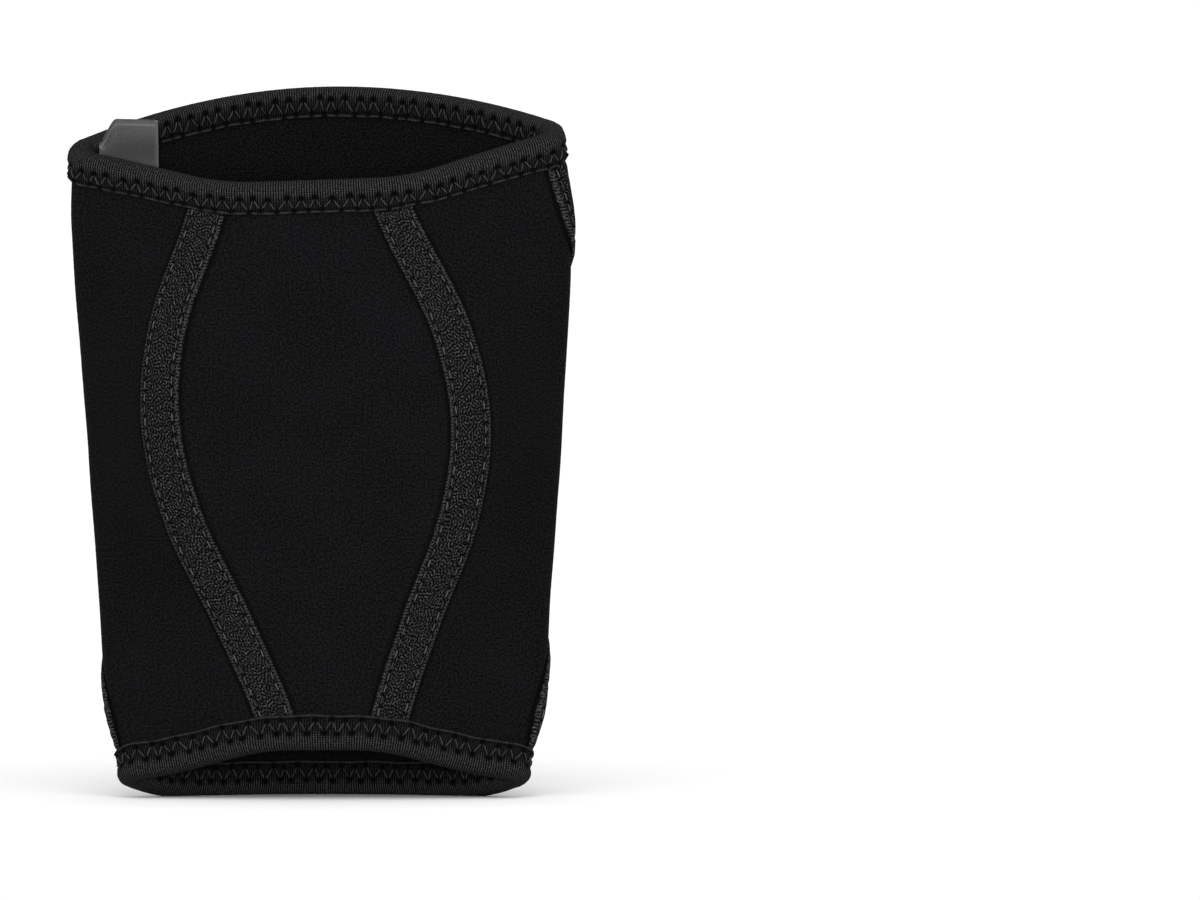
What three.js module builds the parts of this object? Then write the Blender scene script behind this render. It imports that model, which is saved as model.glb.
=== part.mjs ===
// Elbow sleeve standing on its narrow end, in millimetres.
// +X is to the right, +Y points away from the front, +Z is up, and z = 0 is the surface it stands on.
import * as THREE from "three";

// Cloth thicknesses and the gap kept between pieces.
const NEOPRENE = 5.0;
const BINDING = 0.8;
const TAPE = 1.0;
const GAP = 0.3;
const BINDING_GAP = 0.4;
const TAPE_END_GAP = 0.8;
// Radius of the inner face where the tube folds at its two sides.
const FOLD_RADIUS = 1.5;

// Outer sizes of the tube at each height: half its width, its depth in front of and behind the side folds,
// and how far its middle stands to the right.
const SECTIONS = [
  { z: 0, halfWidth: 57.1, front: 16.5, back: 25.0, right: 0.5 },
  { z: 11, halfWidth: 57.2, front: 17.0, back: 25.5, right: 0.5 },
  { z: 26, halfWidth: 61.3, front: 19.0, back: 28.0, right: 0.5 },
  { z: 60, halfWidth: 64.2, front: 21.5, back: 30.0, right: 0.1 },
  { z: 105, halfWidth: 67.5, front: 23.0, back: 31.0, right: 0.0 },
  { z: 160, halfWidth: 70.5, front: 21.5, back: 31.0, right: -0.5 },
  { z: 180, halfWidth: 68.8, front: 20.0, back: 30.0, right: -1.4 },
  { z: 205, halfWidth: 68.4, front: 19.5, back: 29.5, right: -1.6 },
];
// Backward bow of the tube's middle line, for an arm a little bent.
const BOW = 18.0;
const BOW_HEIGHT = 186;
// Places the origin under the middle of the whole sleeve.
const ORIGIN_Y = 16.0;

// Seams at the front, seen from the front: distance from the front panel's middle at each height.
const SEAMS = [
  { z: 0, spread: 11.0 },
  { z: 23, spread: 16.2 },
  { z: 50, spread: 26.5 },
  { z: 78, spread: 38.4 },
  { z: 105, spread: 43.5 },
  { z: 132, spread: 39.6 },
  { z: 164, spread: 26.4 },
  { z: 205, spread: 14.5 },
];
// Widths of the two side panels from the front seam to the back seam, along the cloth.
const SIDE_BANDS = [
  { z: 0, left: 53.0, right: 45.0 },
  { z: 105, left: 51.0, right: 50.5 },
  { z: 205, left: 52.0, right: 55.5 },
];
// The panels turn a little round the tube from the narrow end to the wide end.
const TWIST_LOW = 3.6;
const TWIST_HIGH = -6.2;
const TWIST_LOW_Z = 20;
const TWIST_HIGH_Z = 175;

// The wide end is cut slanting, down at the front and up at the back, and a little up to the right,
// more so beyond a place to the right of its middle.
const TOP_CORNER_Z = 185.0;
const TOP_FRONT_SLOPE = 0.66;
const TOP_BACK_SLOPE = 0.56;
const TOP_RIGHT_SLOPE = 0.028;
const TOP_RIGHT_LIFT = 0.035;
const TOP_LIFT_X = 25.0;
const TOP_LIFT_ROUND = 20.0;
// The narrow end slants up at the front, rises a little towards its two corners, less so at the front,
// and is pressed flat on the surface behind.
const BOTTOM_SLOPE = 0.8;
const BOTTOM_TURN_Y = 2.6;
const BOTTOM_ROUND = 4.0;
const BOTTOM_PRESS = 0.75;
const CORNER_LIFT = 3.4;
const CORNER_LIFT_START = 36.0;
const CORNER_LIFT_END = 57.0;
const CORNER_FRONT_SHARE = 0.33;
const CORNER_FRONT_Y = -4.0;
const CORNER_BACK_Y = 5.0;

// Bindings: height of each leg and thickness of the roll over the cloth's edge.
const TOP_LEG = 8.4;
const BOTTOM_LEG = 10.0;
const ROLL = 1.6;
// Part of a leg's height where it turns into the roll.
const LEG_TURN = 0.4;

// Width of the tapes, and how far beyond the seams and how softly the front turns into the sides.
const TAPE_WIDTH = 10.2;
const KINK_BEYOND = 5.0;
const KINK_SOFTNESS = 0.25;
const FRONT_CROWN = 0.06;

// Label: a folded satin tab, its length, height, the thickness of its folded loop and of the satin.
const LABEL_LENGTH = 14.5;
const LABEL_HEIGHT = 13.4;
const LABEL_LOOP = 2.0;
const LABEL_CLOTH = 0.8;
// Where the label starts, how far behind the side fold, and how it turns and leans with the cloth there.
const LABEL_X = -60.5;
const LABEL_Z = 176.5;
const LABEL_BEHIND = 0.9;
const LABEL_TURN = 0.16;
const LABEL_LEAN = 0.3;

// Steps of the surfaces.
const FRONT_STEPS = 8;
const SIDE_STEPS = 18;
const BACK_STEPS = 14;
const PANEL_ROWS = 16;
const FRONT_TAPE_STEPS = 3;
const FRONT_TAPE_ROWS = 24;
const BACK_TAPE_STEPS = 8;
const BACK_TAPE_ROWS = 32;
const HALF_POINTS = 60;
const FOLD_POINTS = 10;
const RIM_PASSES = 10;
// Extra steps where the cloth turns, as millimetres of length per radian.
const TURN_WEIGHT = 20;

const MID = FOLD_RADIUS + NEOPRENE / 2;
const OUTER = FOLD_RADIUS + NEOPRENE;

// Reads one column of a table at height z along a smooth curve through its rows.
function column(table, key, z) {
  const last = table.length - 1;
  let i = 0;
  while (i < last - 1 && z > table[i + 1].z) i += 1;
  const slope = (k) => {
    const before = table[Math.max(k - 1, 0)];
    const after = table[Math.min(k + 1, last)];
    return (after[key] - before[key]) / (after.z - before.z);
  };
  const a = table[i];
  const b = table[i + 1];
  const span = b.z - a.z;
  const t = THREE.MathUtils.clamp((z - a.z) / span, 0, 1);
  const t2 = t * t;
  const t3 = t2 * t;
  return (
    (2 * t3 - 3 * t2 + 1) * a[key] +
    (t3 - 2 * t2 + t) * span * slope(i) +
    (3 * t2 - 2 * t3) * b[key] +
    (t3 - t2) * span * slope(i + 1)
  );
}

// Backward place of the side folds at height z.
function foldY(z) {
  const t = z / BOW_HEIGHT;
  return 4 * BOW * t * (1 - t) - ORIGIN_Y;
}

// Depth of the front half across the width, from 1 in the middle to 0 at a side fold.
function frontShape(s, kink) {
  const across = Math.abs(s);
  const rise = (1 - across) / (1 - kink);
  const blend = THREE.MathUtils.clamp(0.5 + (1 - rise) / (2 * KINK_SOFTNESS), 0, 1);
  const corner = THREE.MathUtils.lerp(rise, 1, 1 - blend) - KINK_SOFTNESS * blend * (1 - blend);
  return corner + FRONT_CROWN * (1 - s * s);
}

// Closed line of the cloth's middle at height z: points, outward directions and lengths from the front middle.
function section(z) {
  const width = column(SECTIONS, "halfWidth", z) - OUTER;
  const front = column(SECTIONS, "front", z) - OUTER;
  const back = column(SECTIONS, "back", z) - OUTER;
  const kink = (column(SEAMS, "spread", z) + KINK_BEYOND) / (width + OUTER);
  const right = column(SECTIONS, "right", z);
  const atFront = (s) => new THREE.Vector2(right + s * width, -front * frontShape(s, kink));
  const atBack = (s) => new THREE.Vector2(right + s * width, back * (1 - s * s));
  const small = 1e-3;
  const normal = (at, s, sign) => {
    const along = at(Math.min(s + small, 1)).sub(at(Math.max(s - small, -1)));
    return new THREE.Vector2(along.y, -along.x).multiplyScalar(sign).normalize();
  };
  const line = [];
  const put = (p, n) => line.push({ x: p.x + n.x * MID, y: p.y + n.y * MID, nx: n.x, ny: n.y });
  const fan = (tip, from, to) => {
    const start = from.angle();
    const turn = Math.atan2(from.x * to.y - from.y * to.x, from.dot(to));
    for (let k = 1; k < FOLD_POINTS; k += 1) {
      const angle = start + (turn * k) / FOLD_POINTS;
      put(tip, new THREE.Vector2(Math.cos(angle), Math.sin(angle)));
    }
  };
  for (let k = 0; k <= HALF_POINTS; k += 1) {
    const s = k / HALF_POINTS;
    put(atFront(s), normal(atFront, s, 1));
  }
  fan(atFront(1), normal(atFront, 1, 1), normal(atBack, 1, -1));
  for (let k = 0; k <= 2 * HALF_POINTS; k += 1) {
    const s = 1 - k / HALF_POINTS;
    put(atBack(s), normal(atBack, s, -1));
  }
  fan(atBack(-1), normal(atBack, -1, -1), normal(atFront, -1, 1));
  for (let k = 0; k <= HALF_POINTS; k += 1) {
    const s = k / HALF_POINTS - 1;
    put(atFront(s), normal(atFront, s, 1));
  }
  const lengths = [0];
  const weights = [0];
  for (let k = 1; k < line.length; k += 1) {
    const a = line[k - 1];
    const b = line[k];
    const run = Math.hypot(b.x - a.x, b.y - a.y);
    const turn = Math.abs(Math.atan2(a.nx * b.ny - a.ny * b.nx, a.nx * b.nx + a.ny * b.ny));
    lengths.push(lengths[k - 1] + run);
    weights.push(weights[k - 1] + run + TURN_WEIGHT * turn);
  }
  return { line, lengths, weights, total: lengths[lengths.length - 1], weight: weights[weights.length - 1] };
}

const sectionStore = new Map();
function sectionAt(z) {
  const key = z.toFixed(3);
  if (!sectionStore.has(key)) sectionStore.set(key, section(Number(key)));
  return sectionStore.get(key);
}

// Place of a value in a rising list: the entry before it and the part of the way to the next.
function place(list, value) {
  let low = 0;
  let high = list.length - 1;
  while (high - low > 1) {
    const middle = (low + high) >> 1;
    if (list[middle] <= value) low = middle;
    else high = middle;
  }
  return { low, high, t: (value - list[low]) / Math.max(list[high] - list[low], 1e-9) };
}

// Reads one rising list where another has a given value, once round or more.
function across(list, whole, value, other, otherWhole) {
  const turns = Math.floor(value / whole);
  const { low, high, t } = place(list, value - turns * whole);
  return turns * otherWhole + THREE.MathUtils.lerp(other[low], other[high], t);
}

// A length between two others at height z, in steps that are shorter where the cloth turns.
function lengthBetween(from, to, t, z) {
  const { lengths, weights, total, weight } = sectionAt(z);
  const start = across(lengths, total, from, weights, weight);
  const end = across(lengths, total, to, weights, weight);
  return across(weights, weight, THREE.MathUtils.lerp(start, end, t), lengths, total);
}

// Point and outward direction in the section at height z, a length along the cloth from the front middle.
function inSection(length, z) {
  const { line, lengths, total } = sectionAt(z);
  const { low, high, t } = place(lengths, THREE.MathUtils.euclideanModulo(length, total));
  const a = line[low];
  const b = line[high];
  const n = new THREE.Vector2(a.nx + (b.nx - a.nx) * t, a.ny + (b.ny - a.ny) * t).normalize();
  return { x: a.x + (b.x - a.x) * t, y: a.y + (b.y - a.y) * t + foldY(z), n };
}

// Point of the cloth at a length round and a height, moved out of the cloth's middle by an offset.
function onCloth(length, z, offset) {
  const here = inSection(length, z);
  const step = 0.5;
  const scale = (height) => (length / sectionAt(z).total) * sectionAt(height).total;
  const above = inSection(scale(z + step), z + step);
  const below = inSection(scale(z - step), z - step);
  const rise = -((above.x - below.x) * here.n.x + (above.y - below.y) * here.n.y) / (2 * step);
  const normal = new THREE.Vector3(here.n.x, here.n.y, rise).normalize();
  return new THREE.Vector3(here.x, here.y, z).addScaledVector(normal, offset);
}

// Length round the cloth where its outer face stands at a given place across, on the front.
function lengthAtX(x, z) {
  let low = -0.25 * sectionAt(z).total;
  let high = -low;
  for (let k = 0; k < 30; k += 1) {
    const middle = (low + high) / 2;
    const p = inSection(middle, z);
    if (p.x + (p.n.x * NEOPRENE) / 2 < x) low = middle;
    else high = middle;
  }
  return (low + high) / 2;
}

// The four seams, as lengths round the cloth at height z, in order from front left to back left.
function seams(z) {
  const twist = THREE.MathUtils.mapLinear(z, TWIST_LOW_Z, TWIST_HIGH_Z, TWIST_LOW, TWIST_HIGH);
  const spread = column(SEAMS, "spread", z);
  const frontLeft = lengthAtX(twist - spread, z);
  const frontRight = lengthAtX(twist + spread, z);
  return {
    frontLeft,
    frontRight,
    backRight: frontRight + column(SIDE_BANDS, "right", z),
    backLeft: frontLeft - column(SIDE_BANDS, "left", z) + sectionAt(z).total,
    frontLeftAgain: frontLeft + sectionAt(z).total,
  };
}
const seamStore = new Map();
function seamsAt(z) {
  const key = z.toFixed(3);
  if (!seamStore.has(key)) seamStore.set(key, seams(Number(key)));
  return seamStore.get(key);
}

// A line up the sleeve, part of the way from one seam to the next.
const between = (from, to, t) => (z) => lengthBetween(seamsAt(z)[from], seamsAt(z)[to], t, z);

// Heights of the two rims, at a part of the way round the tube.
function topRim(part) {
  let z = TOP_CORNER_Z;
  for (let k = 0; k < RIM_PASSES; k += 1) {
    const p = inSection(part * sectionAt(z).total, z);
    const behind = p.y - foldY(z);
    const beyond = p.x - TOP_LIFT_X;
    const lift = (TOP_RIGHT_LIFT * (beyond + Math.hypot(beyond, TOP_LIFT_ROUND))) / 2;
    z = TOP_CORNER_Z + behind * (behind < 0 ? TOP_FRONT_SLOPE : TOP_BACK_SLOPE) + p.x * TOP_RIGHT_SLOPE + lift;
  }
  return z;
}
function bottomRim(part) {
  let z = 0;
  for (let k = 0; k < RIM_PASSES; k += 1) {
    const p = inSection(part * sectionAt(z).total, z);
    const behind = p.y - foldY(z);
    const ahead = BOTTOM_TURN_Y - behind;
    const rounded = (ahead + Math.hypot(ahead, BOTTOM_ROUND)) / 2;
    const out = Math.max((Math.abs(p.x) - CORNER_LIFT_START) / (CORNER_LIFT_END - CORNER_LIFT_START), 0);
    const back = THREE.MathUtils.smoothstep(behind, CORNER_FRONT_Y, CORNER_BACK_Y);
    const corner = CORNER_LIFT * out * out * THREE.MathUtils.lerp(CORNER_FRONT_SHARE, 1, back);
    z = BOTTOM_SLOPE * rounded - BOTTOM_PRESS + corner;
  }
  return z;
}
const TOP = { rim: topRim, inward: -1, start: TOP_CORNER_Z };
const BOTTOM = { rim: bottomRim, inward: 1, start: 0 };

// Height on a line up the sleeve at a distance in from one of the rims.
function heightIn(line, end, depth) {
  let z = end.start;
  for (let k = 0; k < RIM_PASSES; k += 1) {
    z = end.rim(line(z) / sectionAt(z).total) + end.inward * depth;
  }
  return z;
}

// Closed solid from an inner and an outer sheet of points of the same rows and columns.
function sheetSolid(rows) {
  const up = rows.length;
  const across = rows[0].length;
  const positions = [];
  for (const side of ["outer", "inner"]) {
    for (const row of rows) for (const cell of row) positions.push(...cell[side].toArray());
  }
  const at = (side, i, j) => side * up * across + i * across + j;
  const faces = [];
  const quad = (a, b, c, d) => faces.push(a, b, c, a, c, d);
  for (let i = 0; i < up - 1; i += 1) {
    for (let j = 0; j < across - 1; j += 1) {
      quad(at(0, i, j), at(0, i, j + 1), at(0, i + 1, j + 1), at(0, i + 1, j));
      quad(at(1, i, j), at(1, i + 1, j), at(1, i + 1, j + 1), at(1, i, j + 1));
    }
    quad(at(0, i, 0), at(0, i + 1, 0), at(1, i + 1, 0), at(1, i, 0));
    quad(at(0, i, across - 1), at(1, i, across - 1), at(1, i + 1, across - 1), at(0, i + 1, across - 1));
  }
  for (let j = 0; j < across - 1; j += 1) {
    quad(at(0, 0, j), at(1, 0, j), at(1, 0, j + 1), at(0, 0, j + 1));
    quad(at(0, up - 1, j), at(0, up - 1, j + 1), at(1, up - 1, j + 1), at(1, up - 1, j));
  }
  return solid(positions, faces);
}

function solid(positions, faces) {
  const geometry = new THREE.BufferGeometry();
  geometry.setAttribute("position", new THREE.Float32BufferAttribute(positions, 3));
  geometry.setIndex(faces);
  geometry.computeVertexNormals();
  return geometry;
}

// Piece of cloth between two lines up the sleeve. Its rows stand at the given distances in from each rim,
// and evenly between the last of those.
function clothPatch({ from, to, steps, rows, low, high, inner, outer }) {
  const sheet = [];
  for (let j = 0; j <= steps; j += 1) {
    const line = (z) => lengthBetween(from(z), to(z), j / steps, z);
    const lows = low.map((depth) => heightIn(line, BOTTOM, depth));
    const highs = high.map((depth) => heightIn(line, TOP, depth)).reverse();
    const lowest = lows.pop();
    const highest = highs.shift();
    const middle = Array.from({ length: rows + 1 }, (_, i) => THREE.MathUtils.lerp(lowest, highest, i / rows));
    const heights = [...lows, ...middle, ...highs];
    heights.forEach((z, i) => {
      if (!sheet[i]) sheet[i] = [];
      sheet[i].push({ outer: onCloth(line(z), z, outer), inner: onCloth(line(z), z, inner) });
    });
  }
  return sheetSolid(sheet);
}

const PANELS = [
  { name: "front_panel", from: "frontLeft", to: "frontRight", steps: FRONT_STEPS },
  { name: "side_panel_right", from: "frontRight", to: "backRight", steps: SIDE_STEPS },
  { name: "back_panel", from: "backRight", to: "backLeft", steps: BACK_STEPS },
  { name: "side_panel_left", from: "backLeft", to: "frontLeftAgain", steps: SIDE_STEPS },
];

function panelGeometry({ from, to, steps }) {
  return clothPatch({
    from: (z) => seamsAt(z)[from] + GAP / 2,
    to: (z) => seamsAt(z)[to] - GAP / 2,
    steps,
    rows: PANEL_ROWS,
    low: [ROLL + GAP, BOTTOM_LEG * LEG_TURN, BOTTOM_LEG],
    high: [ROLL + GAP, TOP_LEG * LEG_TURN, TOP_LEG],
    inner: -NEOPRENE / 2,
    outer: NEOPRENE / 2,
  });
}

// Tape over a seam, between the edges of the two bindings, widened where the seam slants.
function tapeGeometry(seam, steps, rows) {
  const half = (z) => {
    const step = 1;
    const slant = (seamsAt(z + step)[seam] - seamsAt(z - step)[seam]) / (2 * step);
    return (TAPE_WIDTH / 2) * Math.hypot(1, slant);
  };
  return clothPatch({
    from: (z) => seamsAt(z)[seam] - half(z),
    to: (z) => seamsAt(z)[seam] + half(z),
    steps,
    rows,
    low: [BOTTOM_LEG + TAPE_END_GAP],
    high: [TOP_LEG + TAPE_END_GAP],
    inner: NEOPRENE / 2 + GAP,
    outer: NEOPRENE / 2 + GAP + TAPE,
  });
}

// Outline of a folded binding: offset from the cloth's middle, and distance in from the rim.
function bindingOutline(leg) {
  const inside = NEOPRENE / 2 + BINDING_GAP;
  const outside = inside + BINDING;
  return [
    { offset: outside, depth: leg },
    { offset: outside, depth: leg * LEG_TURN },
    { offset: outside - 0.8, depth: 0.7 },
    { offset: outside - 2.1, depth: 0 },
    { offset: -outside + 2.1, depth: 0 },
    { offset: -outside + 0.8, depth: 0.7 },
    { offset: -outside, depth: leg * LEG_TURN },
    { offset: -outside, depth: leg },
    { offset: -inside, depth: leg },
    { offset: -inside, depth: leg * LEG_TURN },
    { offset: -inside, depth: ROLL },
    { offset: inside, depth: ROLL },
    { offset: inside, depth: leg * LEG_TURN },
    { offset: inside, depth: leg },
  ];
}

// Ring of folded binding along a rim.
function bindingGeometry(end, leg) {
  const lines = PANELS.flatMap(({ from, to, steps }) =>
    Array.from({ length: steps }, (_, j) => between(from, to, j / steps)),
  );
  const outline = bindingOutline(leg);
  const positions = [];
  for (const line of lines) {
    for (const { offset, depth } of outline) {
      const z = heightIn(line, end, depth);
      const p = onCloth(line(z), z, offset);
      positions.push(p.x, p.y, Math.max(p.z, 0));
    }
  }
  const count = outline.length;
  const faces = [];
  for (let i = 0; i < lines.length; i += 1) {
    const next = (i + 1) % lines.length;
    for (let k = 0; k < count; k += 1) {
      const after = (k + 1) % count;
      const rises = end.inward * (outline[after].depth - outline[k].depth) > 0;
      const quad = [i * count + k, next * count + k, next * count + after, i * count + after];
      const [a, b, c, d] = rises ? quad : [quad[1], quad[2], quad[3], quad[0]];
      faces.push(...(end.inward > 0 ? [a, c, b, a, d, c] : [a, b, c, a, c, d]));
    }
  }
  return solid(positions, faces);
}

// Folded satin tab: a narrow loop seen from above, raised to the label's height.
function labelGeometry() {
  const radius = LABEL_LOOP / 2;
  const reach = LABEL_LENGTH - radius;
  const hole = radius - LABEL_CLOTH;
  const loop = new THREE.Shape();
  loop.moveTo(0, -radius);
  loop.lineTo(reach, -radius);
  loop.absarc(reach, 0, radius, -Math.PI / 2, Math.PI / 2, false);
  loop.lineTo(0, radius);
  loop.lineTo(0, hole);
  loop.lineTo(reach, hole);
  loop.absarc(reach, 0, hole, Math.PI / 2, -Math.PI / 2, true);
  loop.lineTo(0, -hole);
  loop.closePath();
  const geometry = new THREE.ExtrudeGeometry(loop, { depth: LABEL_HEIGHT, bevelEnabled: false, curveSegments: 8 });
  geometry.rotateZ(LABEL_TURN);
  geometry.rotateX(LABEL_LEAN);
  geometry.translate(LABEL_X, foldY(LABEL_Z) + LABEL_BEHIND, LABEL_Z);
  return geometry;
}

const CLOTHS = {
  neoprene: { color: 0x161617, roughness: 0.92 },
  binding: { color: 0x242425, roughness: 0.8 },
  tape: { color: 0x222222, roughness: 0.85 },
  satin: { color: 0x303134, roughness: 0.55 },
};

function piece(name, geometry, cloth) {
  const { color, roughness } = CLOTHS[cloth];
  const material = new THREE.MeshStandardMaterial({ color, roughness, metalness: 0 });
  material.name = cloth;
  const mesh = new THREE.Mesh(geometry, material);
  mesh.name = name;
  return mesh;
}

const sleeve = new THREE.Group();
sleeve.name = "elbow_sleeve";
for (const panel of PANELS) sleeve.add(piece(panel.name, panelGeometry(panel), "neoprene"));
sleeve.add(piece("front_tape_left", tapeGeometry("frontLeft", FRONT_TAPE_STEPS, FRONT_TAPE_ROWS), "tape"));
sleeve.add(piece("front_tape_right", tapeGeometry("frontRight", FRONT_TAPE_STEPS, FRONT_TAPE_ROWS), "tape"));
sleeve.add(piece("back_tape_left", tapeGeometry("backLeft", BACK_TAPE_STEPS, BACK_TAPE_ROWS), "tape"));
sleeve.add(piece("back_tape_right", tapeGeometry("backRight", BACK_TAPE_STEPS, BACK_TAPE_ROWS), "tape"));
sleeve.add(piece("top_binding", bindingGeometry(TOP, TOP_LEG), "binding"));
sleeve.add(piece("bottom_binding", bindingGeometry(BOTTOM, BOTTOM_LEG), "binding"));
sleeve.add(piece("size_label", labelGeometry(), "satin"));

export default sleeve;
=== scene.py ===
"""Black neoprene elbow sleeve that stands on its narrow end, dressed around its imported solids.

Sizes are in millimetres until a mesh is made, and in metres from there on.
"""

import math

import bmesh
import bpy
import numpy as np
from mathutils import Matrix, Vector


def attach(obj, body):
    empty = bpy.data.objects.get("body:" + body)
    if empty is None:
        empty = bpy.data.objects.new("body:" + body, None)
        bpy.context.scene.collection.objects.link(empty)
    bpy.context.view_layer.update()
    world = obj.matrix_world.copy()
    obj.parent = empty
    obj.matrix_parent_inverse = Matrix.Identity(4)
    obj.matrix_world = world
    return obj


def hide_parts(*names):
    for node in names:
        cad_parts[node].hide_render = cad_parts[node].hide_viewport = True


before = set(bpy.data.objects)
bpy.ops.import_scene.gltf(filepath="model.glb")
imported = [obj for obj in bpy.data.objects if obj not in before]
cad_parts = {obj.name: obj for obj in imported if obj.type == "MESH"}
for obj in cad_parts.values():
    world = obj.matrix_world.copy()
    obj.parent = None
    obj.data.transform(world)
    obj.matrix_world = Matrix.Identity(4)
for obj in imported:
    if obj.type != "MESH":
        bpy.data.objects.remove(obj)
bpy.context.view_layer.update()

MM = 0.001
TURN = 2.0 * math.pi
HALF = 0.5

# Cloth thicknesses, and the gap kept between pieces.
NEOPRENE = 5.0
FACE = NEOPRENE / 2
BINDING = 0.8
BINDING_GAP = 0.4
TAPE = 1.0
GAP = 0.3
FOLD_RADIUS = 1.5
MID = FOLD_RADIUS + FACE
OUTER = FOLD_RADIUS + NEOPRENE

# Outer sizes of the tube at each height: half width, depth before and behind the folds, shift to the right.
SECTIONS = {
    "z": (0.0, 11.0, 26.0, 60.0, 105.0, 160.0, 180.0, 205.0),
    "half_width": (57.1, 57.2, 61.3, 64.2, 67.5, 70.5, 68.8, 68.4),
    "front": (16.5, 17.0, 19.0, 21.5, 23.0, 21.5, 20.0, 19.5),
    "back": (25.0, 25.5, 28.0, 30.0, 31.0, 31.0, 30.0, 29.5),
    "right": (0.5, 0.5, 0.5, 0.1, 0.0, -0.5, -1.4, -1.6),
}

# Backward bow of the side folds: none at the floor and at its full height, most halfway.
BOW = 18.0
BOW_HEIGHT = 186.0
ORIGIN_Y = 16.0

# Front seams: distance from the front panel's middle at each height.
SEAMS = {
    "z": (0.0, 23.0, 50.0, 78.0, 105.0, 132.0, 164.0, 205.0),
    "spread": (11.0, 16.2, 26.5, 38.4, 43.5, 39.6, 26.4, 14.5),
}

# Side panels: width round each side at each height, and the turn of all panels round the tube.
SIDE_BANDS = {"z": (0.0, 105.0, 205.0), "left": (53.0, 51.0, 52.0), "right": (45.0, 50.5, 55.5)}
TWIST_HEIGHTS = (20.0, 175.0)
TWISTS = (3.6, -6.2)

# Bend of the front face beside the seams, and its crown between them.
KINK_BEYOND = 5.0
KINK_SOFTNESS = 0.25
FRONT_CROWN = 0.06

# The slanting cuts of the two ends.
TOP_CORNER_Z = 185.0
TOP_FRONT_SLOPE = 0.66
TOP_BACK_SLOPE = 0.56
TOP_RIGHT_SLOPE = 0.028
TOP_RIGHT_LIFT = 0.035
TOP_LIFT_X = 25.0
TOP_LIFT_ROUND = 20.0
BOTTOM_SLOPE = 0.8
BOTTOM_TURN_Y = 2.6
BOTTOM_ROUND = 4.0
BOTTOM_PRESS = 0.75
CORNER_LIFT = 3.4
CORNER_LIFT_X = (36.0, 57.0)
CORNER_FRONT_SHARE = 0.33
CORNER_TURN_Y = (-4.0, 5.0)
RIM_PASSES = 12

# Fineness of the worked-out tube.
LEVEL_LOW = -6.0
LEVEL_HIGH = 216.0
LEVEL_STEP = 0.5
LEVEL_MARGIN = 1e-3
PARTS = 1200
HALF_POINTS = 180
FOLD_POINTS = 40
SLOPE_STEP = 1e-3
SEAM_REACH = 0.2


def ramp(values, start, end):
    """0 before start, 1 after end, smooth between them."""
    t = np.clip((values - start) / (end - start), 0.0, 1.0)
    return t * t * (3 - 2 * t)


def smooth(table, key, z):
    """One row of a table at heights z, along a smooth curve through its values."""
    heights = np.array(table["z"])
    values = np.array(table[key])
    last = len(heights) - 1
    before = np.maximum(np.arange(last + 1) - 1, 0)
    after = np.minimum(np.arange(last + 1) + 1, last)
    slopes = (values[after] - values[before]) / (heights[after] - heights[before])
    i = np.clip(np.searchsorted(heights, z) - 1, 0, last - 1)
    span = heights[i + 1] - heights[i]
    t = np.clip((z - heights[i]) / span, 0.0, 1.0)
    t2 = t * t
    t3 = t2 * t
    low = (2 * t3 - 3 * t2 + 1) * values[i] + (t3 - 2 * t2 + t) * span * slopes[i]
    high = (3 * t2 - 2 * t3) * values[i + 1] + (t3 - t2) * span * slopes[i + 1]
    return low + high


def unit(vectors):
    """Vectors brought to length 1."""
    return vectors / np.linalg.norm(vectors, axis=-1, keepdims=True)


def run_along(points):
    """Length along a line of points up to each of them."""
    steps = np.linalg.norm(np.diff(points, axis=0), axis=1)
    return np.concatenate([[0.0], np.cumsum(steps)])


def fold_y(z):
    """Backward place of the side folds at height z."""
    t = z / BOW_HEIGHT
    return 4 * BOW * t * (1 - t) - ORIGIN_Y


def front_shape(s, kink):
    """Depth of the front half across the width, from 1 in the middle to 0 at a side fold."""
    rise = (1 - np.abs(s)) / (1 - kink)
    blend = np.clip(HALF + (1 - rise) / (2 * KINK_SOFTNESS), 0.0, 1.0)
    corner = rise * blend + (1 - blend) - KINK_SOFTNESS * blend * (1 - blend)
    return corner + FRONT_CROWN * (1 - s * s)


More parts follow.
